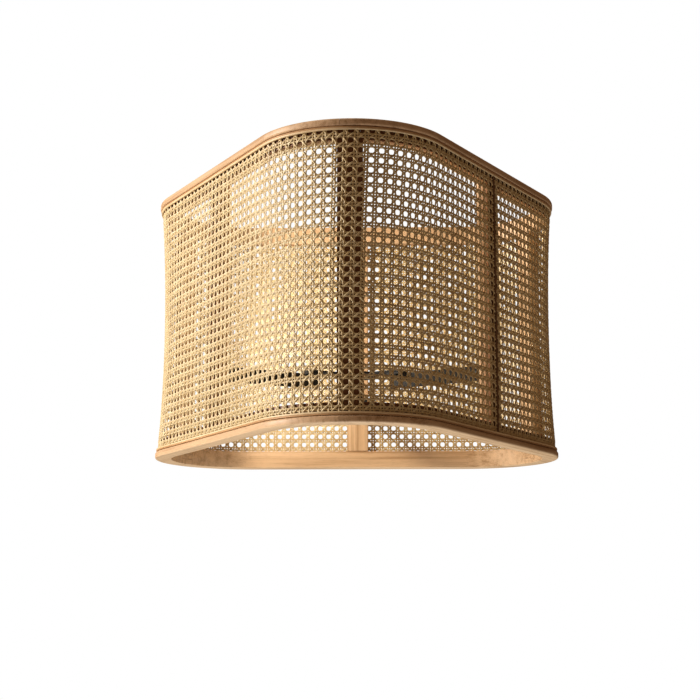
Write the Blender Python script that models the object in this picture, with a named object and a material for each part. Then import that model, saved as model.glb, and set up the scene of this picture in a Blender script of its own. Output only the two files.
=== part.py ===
# Rounded-triangle lamp shade: cane webbing stretched round a wooden frame, with a steel spider.
# Metres, +Z up. The origin is on the ground plane, under the middle of the shade's box.
import math

import bmesh
import bpy
from mathutils import Matrix, Vector

# Overall sizes
SHADE_HEIGHT = 0.380
SIDE_DISTANCE = 0.2258  # shade's axis to the outer face of a straight side
CORNER_RADIUS = 0.134  # outer face of the rims, round a corner

# Clearances
GAP = 0.0003  # between pieces that touch on the real shade

# Rims
RIM_HEIGHT = 0.0258
RIM_WIDTH = 0.0235
LIP_HEIGHT = 0.0090  # the proud band that the webbing's edge stands on
LIP_ROUND = 0.0022
RIM_ARRIS = 0.0010
FINGER_REACH = 0.013  # each finger, either side of a corner's middle
FINGER_LOW = 0.0080  # where the middle finger starts, up the rim

# Webbing
WEB_SETBACK = 0.0040  # behind the rims' outer faces
WEB_THICKNESS = 0.0024
WEB_PULL = 0.0070  # deepest saddle, where nothing backs the webbing
WEB_PULL_LENGTH = 0.180  # how far the saddle runs from a corner post
WEB_ROWS = 6
WEB_FLAT_STEPS = 4

# Beads over the webbing's edges
BEAD_START = 0.0007  # above the lip
BEAD_HEIGHT = 0.0044
BEAD_THICKNESS = 0.0024
BEAD_ARRIS = 0.0009
BEAD_JOINT = 0.030  # from the seam to the bead's butt joint

# Seam spline
SPLINE_WIDTH = 0.0036
SPLINE_PROUD = 0.0006
SPLINE_GROOVE = 0.0020  # into the post and the rims

# Posts
POST_WIDTH = 0.032
POST_PROUD = 0.0010  # inside the rims' inner faces
POST_ARRIS = 0.0010

# Dowels, one in each end of a post
DOWEL_RADIUS = 0.0040
DOWEL_REACH = 0.0090  # depth of each hole
DOWEL_FLOOR = 0.0010  # wood between a corner's dowel hole and the middle finger

# Spider
SPIDER_BOTTOM = 0.0858
ARM_HEIGHT = 0.0200
ARM_THICKNESS = 0.0040
ARM_INNER = 0.0580  # the arms start this far from the axis
FOOT_WIDTH = 0.0290
TAB_LENGTH = 0.0220
TAB_WIDTH = 0.0200
TAB_THICKNESS = 0.0030
TAB_LET_IN = 0.0015  # how deep the bar's top edge is let into the tab
TAB_PAST = 0.0010  # how far the tab runs past the bar's inner end
PLATE_THICKNESS = 0.0030
PLATE_RADIUS = 0.0340
RING_RADIUS = 0.0200  # hole for the lampholder

# Fasteners
SCREW_RADIUS = 0.0020
SCREW_LENGTH = 0.0140
SCREW_HEAD_RADIUS = 0.0038
SCREW_HEAD_HEIGHT = 0.0020
SCREW_CROWN_RADIUS = 0.0023  # the flat on top of the head
SCREW_RIM_HEIGHT = 0.0008  # the straight part of the head's side
SCREW_SPREAD = 0.0090  # either side of the post's middle
RIVET_RADIUS = 0.0020
RIVET_HEAD_RADIUS = 0.0036
RIVET_HEAD_HEIGHT = 0.0016
RIVET_CROWN_RADIUS = 0.0018
RIVET_SHOULDER = (0.0032, 0.0008)  # radius and height where the head's dome turns over
RIVET_TAIL_RADIUS = 0.0030
RIVET_TAIL_HEIGHT = 0.0012
RIVET_SPREAD = 0.0062  # either side of an arm's bar
RIVET_INSET = 0.0100  # from the outer end of a tab

# Facets
ARC_SAG = 0.00029  # deepest that a corner's flat facets lie inside its arc, at the outer face
LIP_TURNS = (0, 45, 90)  # degrees, across each rounded edge of a lip
PLATE_STEPS = 5  # between two lugs
ROUND_SIDES = 10
HOLE_SIDES = 10
SMOOTH_ANGLE = 35
WEB_SMOOTH_ANGLE = 60

# Worked out from the sizes above
CORE = SIDE_DISTANCE - CORNER_RADIUS  # inradius of the triangle that the corners turn about
FINGER_HIGH = RIM_HEIGHT - DOWEL_REACH - DOWEL_FLOOR  # where the middle finger ends
HALF_SIDE = CORE * math.sqrt(3)
CENTRE = Vector((0.0, CORE / 2))  # the shade's axis in plan, which centres its box on the origin
WEB_BACK = WEB_SETBACK + WEB_THICKNESS
RABBET = WEB_BACK + GAP
POST_DEPTH = RIM_WIDTH + POST_PROUD - RABBET
ARM_TOP = SPIDER_BOTTOM + ARM_HEIGHT
TAB_BOTTOM = ARM_TOP - TAB_LET_IN
SPIDER_TOP = TAB_BOTTOM + TAB_THICKNESS

SIDES = {"back": 90.0, "left": 210.0, "right": 330.0}  # directions the flat sides face
CORNERS = {"back_left": 150.0, "front": 270.0, "back_right": 30.0}
SEAM_SIDE = "right"
SIDE_TURN = 120.0  # from one side to the next
HALF_CORNER = SIDE_TURN / 2  # from a corner's middle to a straight side
FACET_TURN = 2 * math.degrees(math.acos(1 - ARC_SAG / CORNER_RADIUS))
ARC_STEPS = math.ceil(HALF_CORNER / FACET_TURN)  # for each half corner


def direction(degrees):
    angle = math.radians(degrees)
    return Vector((math.cos(angle), math.sin(angle)))


def core_vertex(degrees):
    return CENTRE + direction(degrees) * 2 * CORE


class Station:
    """A place on the shade's outline. at(inset) is the point that far inside the outer face."""

    def __init__(self, turning_point, facing, from_corner):
        self.turning_point = turning_point
        self.facing = facing
        self.from_corner = from_corner  # along the outer face, from the nearest corner's middle

    def at(self, inset):
        return self.turning_point + direction(self.facing) * (CORNER_RADIUS - inset)


class SquareEnd:
    """A cut across a corner, square to the corner's middle and that far along from it."""

    def __init__(self, corner, along):
        self.corner = corner
        self.along = along

    def at(self, inset):
        radius = CORNER_RADIUS - inset
        outward = direction(self.corner)
        sideways = direction(self.corner + 90)
        depth = math.sqrt(radius**2 - self.along**2)
        return core_vertex(self.corner) + sideways * self.along + outward * depth


def arc_stations(corner, start, end):
    steps = max(1, round(abs(end - start) / HALF_CORNER * ARC_STEPS))
    found = []
    for i in range(steps + 1):
        turn = start + (end - start) * i / steps
        from_corner = math.radians(abs(turn)) * CORNER_RADIUS
        found.append(Station(core_vertex(corner), corner + turn, from_corner))
    return found


def flat_stations(side, start, end, steps):
    """Along a straight side, with start and end measured from its middle."""
    middle = CENTRE + direction(SIDES[side]) * CORE
    along = direction(SIDES[side] + 90)
    arc = math.radians(HALF_CORNER) * CORNER_RADIUS
    found = []
    for i in range(steps + 1):
        place = start + (end - start) * i / steps
        found.append(Station(middle + along * place, SIDES[side], arc + HALF_SIDE - abs(place)))
    return found


def side_run(side, steps=1):
    return flat_stations(side, -HALF_SIDE, HALF_SIDE, steps)


def ring_from_seam(offset, opening, steps):
    """Once round the shade from beside the seam, leaving an opening centred offset from it."""
    run = flat_stations(SEAM_SIDE, offset + opening / 2, HALF_SIDE, steps)
    for corner, side in (("back_right", "back"), ("back_left", "left"), ("front", None)):
        run += arc_stations(CORNERS[corner], -HALF_CORNER, HALF_CORNER)[1:-1]
        if side:
            run += side_run(side, 2 * steps)
    return run + flat_stations(SEAM_SIDE, -HALF_SIDE, offset - opening / 2, steps)


def new_object(name, mesh_maker, material=None):
    mesh = bpy.data.meshes.new(name)
    made = bmesh.new()
    mesh_maker(made)
    bmesh.ops.recalc_face_normals(made, faces=made.faces)
    made.to_mesh(mesh)
    made.free()
    piece = bpy.data.objects.new(name, mesh)
    bpy.context.scene.collection.objects.link(piece)
    if material:
        mesh.materials.append(material)
    return piece


def smooth(piece, degrees=SMOOTH_ANGLE):
    piece.data.shade_smooth()
    piece.data.set_sharp_from_angle(angle=math.radians(degrees))


def add_sweep(made, stations, profile_at):
    """Rings of (inset, height) points at each station, joined along the run and capped."""
    rings = []
    for station in stations:
        ring = []
        for inset, height in profile_at(station):
            spot = station.at(inset)
            ring.append(made.verts.new((spot.x, spot.y, height)))
        rings.append(ring)
    for first, second in zip(rings, rings[1:]):
        for i in range(len(first)):
            j = (i + 1) % len(first)
            made.faces.new((first[i], first[j], second[j], second[i]))
    made.faces.new(rings[0])
    made.faces.new(reversed(rings[-1]))


def add_prism(made, outline, low, high):
    """A plan outline of (x, y) points drawn up from low to high."""
    bottom = [made.verts.new((x, y, low)) for x, y in outline]
    top = [made.verts.new((x, y, high)) for x, y in outline]
    made.faces.new(bottom)
    made.faces.new(reversed(top))
    for i in range(len(outline)):
        j = (i + 1) % len(outline)
        made.faces.new((bottom[i], top[i], top[j], bottom[j]))


def add_box(made, facing, out, along, height):
    """A box square to a direction, each size given as (low, high) from the shade's axis."""
    outward = direction(facing)
    sideways = direction(facing + 90)
    outline = []
    for depth, place in ((0, 0), (0, 1), (1, 1), (1, 0)):
        outline.append(CENTRE + outward * out[depth] + sideways * along[place])
    add_prism(made, outline, *height)


def add_turned(made, profile, sides, place):
    """Turns (radius, height) points about Z, from axis to axis, then moves the result by place."""
    rings = []
    for radius, height in profile:
        if radius == 0:
            rings.append([made.verts.new(place @ Vector((0, 0, height)))])
            continue
        ring = []
        for i in range(sides):
            spot = direction(360 * i / sides) * radius
            ring.append(made.verts.new(place @ Vector((spot.x, spot.y, height))))
        rings.append(ring)
    for low, high in zip(rings, rings[1:]):
        for i in range(sides):
            j = (i + 1) % sides
            corners = [low[i % len(low)], low[j % len(low)], high[j % len(high)], high[i % len(high)]]
            made.faces.new(list(dict.fromkeys(corners)))


def upright(spot):
    return Matrix.Translation((spot.x, spot.y, 0))


def outward_place(facing, out, along, height):
    """Turns +Z to point out of the shade, at a point given from the shade's axis."""
    spot = CENTRE + direction(facing) * out + direction(facing + 90) * along
    turn = Matrix.Rotation(math.radians(facing), 4, "Z") @ Matrix.Rotation(math.radians(90), 4, "Y")
    return Matrix.Translation((spot.x, spot.y, height)) @ turn


def add_peg(made, place, radius, low, high, sides):
    add_turned(made, [(0, low), (radius, low), (radius, high), (0, high)], sides, place)


def cut(piece, name, mesh_maker):
    cutter = new_object(name, mesh_maker)
    cutter.hide_render = True
    cutter.display_type = "WIRE"
    boolean = piece.modifiers.new(name, "BOOLEAN")
    boolean.operation = "DIFFERENCE"
    boolean.solver = "EXACT"
    boolean.object = cutter


def make_material(name, colour, roughness, metallic=0.0):
    material = bpy.data.materials.new(name)
    material.use_nodes = True
    shader = material.node_tree.nodes["Principled BSDF"]
    shader.inputs["Base Color"].default_value = (*colour, 1)
    shader.inputs["Roughness"].default_value = roughness
    shader.inputs["Metallic"].default_value = metallic
    material.diffuse_color = (*colour, 1)
    return material


# Rims


def rim_profile():
    """Bottom rim's section as (inset, height): a rounded lip, then the rabbet that the webbing lies in."""
    inner = RIM_WIDTH
    points = [(inner - RIM_ARRIS, 0)]
    for degrees in LIP_TURNS:
        angle = math.radians(degrees)
        points.append((LIP_ROUND * (1 - math.sin(angle)), LIP_ROUND * (1 - math.cos(angle))))
    for degrees in LIP_TURNS:
        angle = math.radians(degrees)
        rise = LIP_HEIGHT - LIP_ROUND + LIP_ROUND * math.sin(angle)
        points.append((LIP_ROUND * (1 - math.cos(angle)), rise))
    points += [
        (RABBET, LIP_HEIGHT),
        (RABBET, RIM_HEIGHT),
        (inner - RIM_ARRIS, RIM_HEIGHT),
        (inner, RIM_HEIGHT - RIM_ARRIS),
        (inner, RIM_ARRIS),
    ]
    return points


def corner_out(inset):
    """How far from the axis a corner's middle is, that far inside the outer face."""
    return 2 * CORE + CORNER_RADIUS - inset


def dowel_spot(facing, kind):
    out = corner_out(0) if kind == "corner" else SIDE_DISTANCE
    return CENTRE + direction(facing) * (out - RABBET - POST_DEPTH / 2)


def rim_cutter(side, flip, first, last):
    """Finger sockets at both ends, the dowel holes, and the seam's groove on its own side."""
    level = (lambda a, b: (SHADE_HEIGHT - b, SHADE_HEIGHT - a)) if flip else (lambda a, b: (a, b))
    outside = (corner_out(RIM_WIDTH) - FINGER_REACH, corner_out(0) + FINGER_REACH)
    past = 2 * FINGER_REACH
    reach = FINGER_REACH + GAP / 2

    def cutter(made):
        sockets = level(FINGER_LOW - GAP / 2, FINGER_HIGH + GAP / 2)
        add_box(made, first, outside, (-past, reach), sockets)
        below = level(-FINGER_REACH, FINGER_LOW + GAP / 2)
        above = level(FINGER_HIGH - GAP / 2, RIM_HEIGHT + FINGER_REACH)
        for socket in (below, above):
            add_box(made, last, outside, (-reach, past), socket)
        hole = level(RIM_HEIGHT - DOWEL_REACH, RIM_HEIGHT + DOWEL_REACH)
        for spot in (dowel_spot(SIDES[side], "side"), dowel_spot(first, "corner")):
            add_peg(made, upright(spot), DOWEL_RADIUS + GAP, *hole, HOLE_SIDES)
        if side == SEAM_SIDE:
            add_seam_groove(made)

    return cutter


def add_seam_groove(made):
    half = SPLINE_WIDTH / 2 + GAP
    back = SIDE_DISTANCE - WEB_BACK - SPLINE_GROOVE - GAP
    low, high = spline_span()
    out = (back, SIDE_DISTANCE - GAP)
    add_box(made, SIDES[SEAM_SIDE], out, (-half, half), (low - GAP, high + GAP))


def make_rims(material):
    for level in ("bottom", "top"):
        flip = level == "top"
        profile = rim_profile()
        if flip:
            profile = [(inset, SHADE_HEIGHT - height) for inset, height in profile]
        for side, facing in SIDES.items():
            first, last = facing - HALF_CORNER, facing + HALF_CORNER
            reach = FINGER_REACH - GAP / 2
            run = [SquareEnd(first, -reach)]
            run += arc_stations(first, 0, HALF_CORNER)[:-1]
            run += side_run(side)
            run += arc_stations(last, -HALF_CORNER, 0)[1:]
            run.append(SquareEnd(last, reach))
            name = f"rim_{level}_{side}"
            piece = new_object(name, lambda made: add_sweep(made, run, lambda _: profile), material)
            cut(piece, f"cut_{name}", rim_cutter(side, flip, first, last))
            smooth(piece)


# Posts


def post_outline(facing, kind):
    """Plan of a post: a corner post's outer face follows the corner."""
    half = POST_WIDTH / 2
    out = corner_out(0) if kind == "corner" else SIDE_DISTANCE
    sideways = direction(facing + 90)
    outward = direction(facing)
    back = out - RABBET - POST_DEPTH
    soft = POST_ARRIS
    outline = []
    for along, depth in ((-half, soft), (-half + soft, 0), (half - soft, 0), (half, soft)):
        outline.append(CENTRE + outward * (back + depth) + sideways * along)
    if kind == "side":
        for along in (half, -half):
            outline.append(CENTRE + outward * (out - RABBET) + sideways * along)
        return outline
    radius = CORNER_RADIUS - RABBET
    widest = math.asin(half / radius)
    step = math.radians(HALF_CORNER / ARC_STEPS)
    whole = int(widest / step)
    for turn in [widest, *(step * i for i in range(whole, -whole - 1, -1)), -widest]:
        place = direction(facing + math.degrees(turn))
        outline.append(core_vertex(facing) + place * radius)
    return outline


def make_posts(material):
    low, high = RIM_HEIGHT + GAP, SHADE_HEIGHT - RIM_HEIGHT - GAP
    kinds = [("side", SIDES), ("corner", CORNERS)]
    for kind, places in kinds:
        for where, facing in places.items():
            name = f"{kind}_post_{where}"
            outline = post_outline(facing, kind)
            piece = new_object(name, lambda made: add_prism(made, outline, low, high), material)

            def cutter(made):
                for middle in (RIM_HEIGHT, SHADE_HEIGHT - RIM_HEIGHT):
                    ends = (middle - DOWEL_REACH, middle + DOWEL_REACH)
                    hole = upright(dowel_spot(facing, kind))
                    add_peg(made, hole, DOWEL_RADIUS + GAP, *ends, HOLE_SIDES)
                if kind == "side":
                    for place in screw_places(facing):
                        deep = SCREW_LENGTH + GAP
                        add_peg(made, place, SCREW_RADIUS + GAP, -SCREW_HEAD_RADIUS, deep, HOLE_SIDES)
                if where == SEAM_SIDE:
                    add_seam_groove(made)

            cut(piece, f"cut_{name}", cutter)


def make_dowels(material):
    half = DOWEL_REACH - GAP
    for level, middle in (("bottom", RIM_HEIGHT), ("top", SHADE_HEIGHT - RIM_HEIGHT)):
        for kind, places in (("side", SIDES), ("corner", CORNERS)):
            for where, facing in places.items():
                place = upright(dowel_spot(facing, kind))
                ends = (middle - half, middle + half)

                def peg(made):
                    add_peg(made, place, DOWEL_RADIUS, *ends, ROUND_SIDES)

                smooth(new_object(f"dowel_{level}_{kind}_{where}", peg, material))


# Webbing, beads and the seam


def pull_share(height):
    """How much of the saddle shows at a height: none at the rims and all of it halfway up."""
    share = (height - RIM_HEIGHT) / (SHADE_HEIGHT - 2 * RIM_HEIGHT)
    return max(0.0, 4 * share * (1 - share))


def web_span():
    low = LIP_HEIGHT + GAP
    return low, SHADE_HEIGHT - low


def web_inset(station, height):
    """The webbing's outer face, pulled in between the corner post and the middle of a side."""
    past_post = station.from_corner - POST_WIDTH / 2
    if past_post <= 0 or past_post >= WEB_PULL_LENGTH:
        return WEB_SETBACK
    along_share = math.sin(math.pi * past_post / WEB_PULL_LENGTH) ** 2
    return WEB_SETBACK + WEB_PULL * pull_share(height) * along_share


def make_webbing(material):
    low, high = web_span()
    heights = [low, RIM_HEIGHT]
    for row in range(1, WEB_ROWS):
        heights.append(RIM_HEIGHT + (SHADE_HEIGHT - 2 * RIM_HEIGHT) * row / WEB_ROWS)
    heights += [SHADE_HEIGHT - RIM_HEIGHT, high]

    def profile(station):
        outer = [(web_inset(station, height), height) for height in heights]
        return outer + [(inset + WEB_THICKNESS, height) for inset, height in reversed(outer)]

    run = ring_from_seam(0, SPLINE_WIDTH + 2 * GAP, WEB_FLAT_STEPS)
    piece = new_object("cane_webbing", lambda made: add_sweep(made, run, profile), material)
    smooth(piece, WEB_SMOOTH_ANGLE)


def bead_profile():
    back = WEB_SETBACK - GAP
    face = back - BEAD_THICKNESS
    low = LIP_HEIGHT + BEAD_START
    high = low + BEAD_HEIGHT
    return [
        (back, low),
        (face + BEAD_ARRIS, low),
        (face, low + BEAD_ARRIS),
        (face, high - BEAD_ARRIS),
        (face + BEAD_ARRIS, high),
        (back, high),
    ]


def make_beads(material):
    for level in ("bottom", "top"):
        profile = bead_profile()
        if level == "top":
            profile = [(inset, SHADE_HEIGHT - height) for inset, height in profile]
        run = ring_from_seam(BEAD_JOINT, GAP, 1)
        name = f"bead_{level}"
        smooth(new_object(name, lambda made: add_sweep(made, run, lambda _: profile), material))


def spline_span():
    low = LIP_HEIGHT + BEAD_START + BEAD_HEIGHT + 2 * GAP
    return low, SHADE_HEIGHT - low


def make_spline(material):
    half = SPLINE_WIDTH / 2
    face = SIDE_DISTANCE - WEB_SETBACK + SPLINE_PROUD
    back = SIDE_DISTANCE - WEB_BACK - SPLINE_GROOVE

    def strip(made):
        add_box(made, SIDES[SEAM_SIDE], (back, face), (-half, half), spline_span())

    new_object("seam_spline", strip, material)


# Spider


def foot_face():
    """The posts' inner faces, from the axis."""
    return SIDE_DISTANCE - RABBET - POST_DEPTH


def screw_places(facing):
    middle = SPIDER_BOTTOM + ARM_HEIGHT / 2
    for along in (-SCREW_SPREAD, SCREW_SPREAD):
        yield outward_place(facing, foot_face() - GAP - ARM_THICKNESS, along, middle)


def rivet_spots(facing):
    out = ARM_INNER + TAB_LENGTH - RIVET_INSET
    for along in (-RIVET_SPREAD, RIVET_SPREAD):
        yield CENTRE + direction(facing) * out + direction(facing + 90) * along


def make_arms(material):
    for side, facing in SIDES.items():
        outer = foot_face() - GAP
        name = f"spider_arm_{side}"
        foot = outer - ARM_THICKNESS
        half = ARM_THICKNESS / 2
        heights = (SPIDER_BOTTOM, ARM_TOP)
        plan = [
            (ARM_INNER, -half),
            (foot, -half),
            (foot, -FOOT_WIDTH / 2),
            (outer, -FOOT_WIDTH / 2),
            (outer, FOOT_WIDTH / 2),
            (foot, FOOT_WIDTH / 2),
            (foot, half),
            (ARM_INNER, half),
        ]
        outward, sideways = direction(facing), direction(facing + 90)
        outline = [CENTRE + outward * out + sideways * along for out, along in plan]
        piece = new_object(name, lambda made: add_prism(made, outline, *heights), material)
        tab_out = (ARM_INNER - TAB_PAST, ARM_INNER + TAB_LENGTH)
        tab_along = (-TAB_WIDTH / 2, TAB_WIDTH / 2)
        tab_heights = (TAB_BOTTOM, SPIDER_TOP)

        def tab_block(made):
            add_box(made, facing, tab_out, tab_along, tab_heights)

        tab = new_object(f"tab_{name}", tab_block)
        tab.hide_render = True
        tab.display_type = "WIRE"
        union = piece.modifiers.new("tab", "BOOLEAN")
        union.operation = "UNION"
        union.solver = "EXACT"
        union.object = tab

        def cutter(made):
            for place in screw_places(facing):
                deep = ARM_THICKNESS + SCREW_HEAD_RADIUS
                add_peg(made, place, SCREW_RADIUS + GAP, -SCREW_HEAD_RADIUS, deep, HOLE_SIDES)
            ends = (TAB_BOTTOM - TAB_THICKNESS, SPIDER_TOP + TAB_THICKNESS)
            for spot in rivet_spots(facing):
                add_peg(made, upright(spot), RIVET_RADIUS + GAP, *ends, HOLE_SIDES)

        cut(piece, f"cut_{name}", cutter)


def plate_outline():
    """A round plate with a lug over each arm's tab."""
    half = TAB_WIDTH / 2
    join = math.degrees(math.asin(half / PLATE_RADIUS))
    end = ARM_INNER + TAB_LENGTH
    outline = []
    for facing in sorted(SIDES.values()):
        outward, sideways = direction(facing), direction(facing + 90)
        outline += [CENTRE + outward * end + sideways * along for along in (-half, half)]
        for i in range(PLATE_STEPS + 1):
            turn = facing + join + (SIDE_TURN - 2 * join) * i / PLATE_STEPS
            outline.append(CENTRE + direction(turn) * PLATE_RADIUS)
    return outline


def make_plate(material):
    heights = (SPIDER_TOP + GAP, SPIDER_TOP + GAP + PLATE_THICKNESS)
    outline = plate_outline()
    piece = new_object("spider_plate", lambda made: add_prism(made, outline, *heights), material)
    past = (heights[0] - PLATE_THICKNESS, heights[1] + PLATE_THICKNESS)

    def cutter(made):
        add_peg(made, upright(CENTRE), RING_RADIUS, *past, 3 * HOLE_SIDES)
        for facing in SIDES.values():
            for spot in rivet_spots(facing):
                add_peg(made, upright(spot), RIVET_RADIUS + GAP, *past, HOLE_SIDES)

    cut(piece, "cut_spider_plate", cutter)


# Fasteners


def make_screws(material):
    """Round-headed wood screws through the arms' feet into the side posts."""
    head = -GAP
    profile = [
        (0, head - SCREW_HEAD_HEIGHT),
        (SCREW_CROWN_RADIUS, head - SCREW_HEAD_HEIGHT),
        (SCREW_HEAD_RADIUS, head - SCREW_RIM_HEIGHT),
        (SCREW_HEAD_RADIUS, head),
        (SCREW_RADIUS, head),
        (SCREW_RADIUS, SCREW_LENGTH - 2 * SCREW_RADIUS),
        (0, SCREW_LENGTH),
    ]

    for side, facing in SIDES.items():
        for hand, place in zip(("a", "b"), screw_places(facing)):

            def screw(made):
                add_turned(made, profile, ROUND_SIDES, place)

            smooth(new_object(f"arm_screw_{side}_{hand}", screw, material))


def make_rivets(material):
    """Rivets that hold the plate's lugs on the arms' tabs."""
    seat = SPIDER_TOP + 2 * GAP + PLATE_THICKNESS
    under = TAB_BOTTOM - GAP
    profile = [
        (0, under - RIVET_TAIL_HEIGHT),
        (RIVET_TAIL_RADIUS, under - RIVET_TAIL_HEIGHT),
        (RIVET_TAIL_RADIUS, under),
        (RIVET_RADIUS, under),
        (RIVET_RADIUS, seat),
        (RIVET_HEAD_RADIUS, seat),
        (RIVET_SHOULDER[0], seat + RIVET_SHOULDER[1]),
        (RIVET_CROWN_RADIUS, seat + RIVET_HEAD_HEIGHT),
        (0, seat + RIVET_HEAD_HEIGHT),
    ]
    for side, facing in SIDES.items():
        for hand, spot in zip(("a", "b"), rivet_spots(facing)):

            def rivet(made):
                add_turned(made, profile, ROUND_SIDES, upright(spot))

            smooth(new_object(f"plate_rivet_{side}_{hand}", rivet, material))


def main():
    for old in list(bpy.data.objects):
        bpy.data.objects.remove(old)
    wood = make_material("pale_wood", (0.72, 0.50, 0.30), 0.5)
    cane = make_material("cane", (0.78, 0.60, 0.36), 0.6)
    reed = make_material("reed", (0.45, 0.28, 0.14), 0.6)
    steel = make_material("black_steel", (0.02, 0.02, 0.02), 0.5, 0.3)
    zinc = make_material("zinc", (0.6, 0.6, 0.6), 0.35, 1.0)
    make_rims(wood)
    make_posts(wood)
    make_dowels(wood)
    make_webbing(cane)
    make_beads(reed)
    make_spline(reed)
    make_arms(steel)
    make_plate(steel)
    make_screws(zinc)
    make_rivets(steel)


main()
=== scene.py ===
import math

import bmesh
import bpy
import numpy as np
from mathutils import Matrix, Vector


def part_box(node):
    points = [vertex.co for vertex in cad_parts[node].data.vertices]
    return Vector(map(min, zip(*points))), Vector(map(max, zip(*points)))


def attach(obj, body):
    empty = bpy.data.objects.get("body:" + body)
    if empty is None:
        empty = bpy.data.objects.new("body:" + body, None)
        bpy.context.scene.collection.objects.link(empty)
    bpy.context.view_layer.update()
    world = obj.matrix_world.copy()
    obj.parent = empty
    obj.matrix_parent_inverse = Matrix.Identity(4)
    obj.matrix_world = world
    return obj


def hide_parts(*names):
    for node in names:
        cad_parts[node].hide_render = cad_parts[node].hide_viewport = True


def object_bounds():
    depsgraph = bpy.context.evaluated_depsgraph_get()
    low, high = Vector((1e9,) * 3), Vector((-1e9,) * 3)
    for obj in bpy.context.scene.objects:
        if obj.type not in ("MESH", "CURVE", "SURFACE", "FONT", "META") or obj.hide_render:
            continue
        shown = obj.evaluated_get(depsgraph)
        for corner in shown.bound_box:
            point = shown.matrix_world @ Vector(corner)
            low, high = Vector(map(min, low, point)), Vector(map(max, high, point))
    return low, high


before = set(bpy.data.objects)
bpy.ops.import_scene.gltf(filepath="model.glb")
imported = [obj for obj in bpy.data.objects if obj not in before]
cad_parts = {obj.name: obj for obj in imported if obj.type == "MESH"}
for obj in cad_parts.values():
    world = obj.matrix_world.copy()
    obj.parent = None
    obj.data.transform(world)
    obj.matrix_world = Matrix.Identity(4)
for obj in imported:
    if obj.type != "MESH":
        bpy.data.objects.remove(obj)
cadLow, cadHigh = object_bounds()


# Shader helpers: a Signal is a socket that takes part in Python maths.


class Signal:
    def __init__(self, finish, socket):
        self.finish = finish
        self.socket = socket

    def maths(self, operation, first, second):
        node = self.finish.add("ShaderNodeMath", {"operation": operation}, {0: first, 1: second})
        return Signal(self.finish, node.outputs[0])

    def __add__(self, other):
        return self.maths("ADD", self, other)

    def __sub__(self, other):
        return self.maths("SUBTRACT", self, other)

    def __mul__(self, other):
        return self.maths("MULTIPLY", self, other)

    def __rsub__(self, other):
        return self.maths("SUBTRACT", other, self)

    __radd__ = __add__
    __rmul__ = __mul__


class Finish:
    def __init__(self, name, **constants):
        self.material = bpy.data.materials.new(name)
        self.material.use_nodes = True
        self.tree = self.material.node_tree
        self.shader = self.tree.nodes["Principled BSDF"]
        for socket, value in constants.items():
            self.shader.inputs[socket.replace("_", " ")].default_value = value

    def join(self, socket, value):
        if isinstance(value, Signal):
            self.tree.links.new(value.socket, socket)
        elif isinstance(value, bpy.types.NodeSocket):
            self.tree.links.new(value, socket)
        else:
            socket.default_value = value

    def add(self, kind, settings=None, sockets=None):
        node = self.tree.nodes.new(kind)
        for key, value in (settings or {}).items():
            if key == "stops":
                ramp = node.color_ramp
                while len(ramp.elements) < len(value):
                    ramp.elements.new(1.0)
                for element, (place, colour) in zip(ramp.elements, value):
                    element.position = place
                    element.color = (*colour, 1)
            else:
                setattr(node, key, value)
        for key, value in (sockets or {}).items():
            self.join(node.inputs[key], value)
        return node

    def attribute(self, name, output="Fac"):
        node = self.add("ShaderNodeAttribute", {"attribute_name": name})
        return Signal(self, node.outputs[output]) if output == "Fac" else node.outputs[output]

    def scaled(self, vector, scale):
        node = self.add("ShaderNodeVectorMath", {"operation": "MULTIPLY"}, {0: vector, 1: scale})
        return node.outputs[0]

    def shifted(self, vector, other):
        node = self.add("ShaderNodeVectorMath", {"operation": "ADD"}, {0: vector, 1: other})
        return node.outputs[0]

    def combined(self, x, y, z):
        return self.add("ShaderNodeCombineXYZ", None, {0: x, 1: y, 2: z}).outputs[0]

    def noise(self, vector, scale, detail=3.0, roughness=0.55):
        sockets = {"Vector": vector, "Scale": scale, "Detail": detail, "Roughness": roughness}
        return Signal(self, self.add("ShaderNodeTexNoise", None, sockets).outputs["Fac"])

    def ramp(self, factor, stops):
        return self.add("ShaderNodeValToRGB", {"stops": stops}, {"Fac": factor}).outputs["Color"]

    def span(self, value, low, high, newLow=0.0, newHigh=1.0):
        sockets = {0: value, 1: low, 2: high, 3: newLow, 4: newHigh}
        return Signal(self, self.add("ShaderNodeMapRange", {"clamp": True}, sockets).outputs[0])

    def mix(self, factor, first, second):
        node = self.add("ShaderNodeMix", {"data_type": "RGBA"}, {0: factor, 6: first, 7: second})
        return node.outputs[2]

    def drive(self, **sockets):
        for name, value in sockets.items():
            self.join(self.shader.inputs[name.replace("_", " ")], value)

    def bump(self, height, strength, distance):
        sockets = {"Strength": strength, "Distance": distance, "Height": height}
        node = self.add("ShaderNodeBump", None, sockets)
        self.join(self.shader.inputs["Normal"], node.outputs[0])


# The outline: a triangle with round corners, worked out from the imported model's box.


width, depth, height = (cadHigh - cadLow)
core = (width - depth) / (2 * math.sqrt(3) - 3)
cornerRadius = (depth - 3 * core) / 2
sideDistance = core + cornerRadius
centre = np.array([0.0, core / 2])
halfFlat = core * math.sqrt(3)
sides = {"right": 330.0, "back": 90.0, "left": 210.0}
corners = {"back_right": 30.0, "back_left": 150.0, "front": 270.0}
hairline = 0.0003  # gap between pieces that touch

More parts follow.
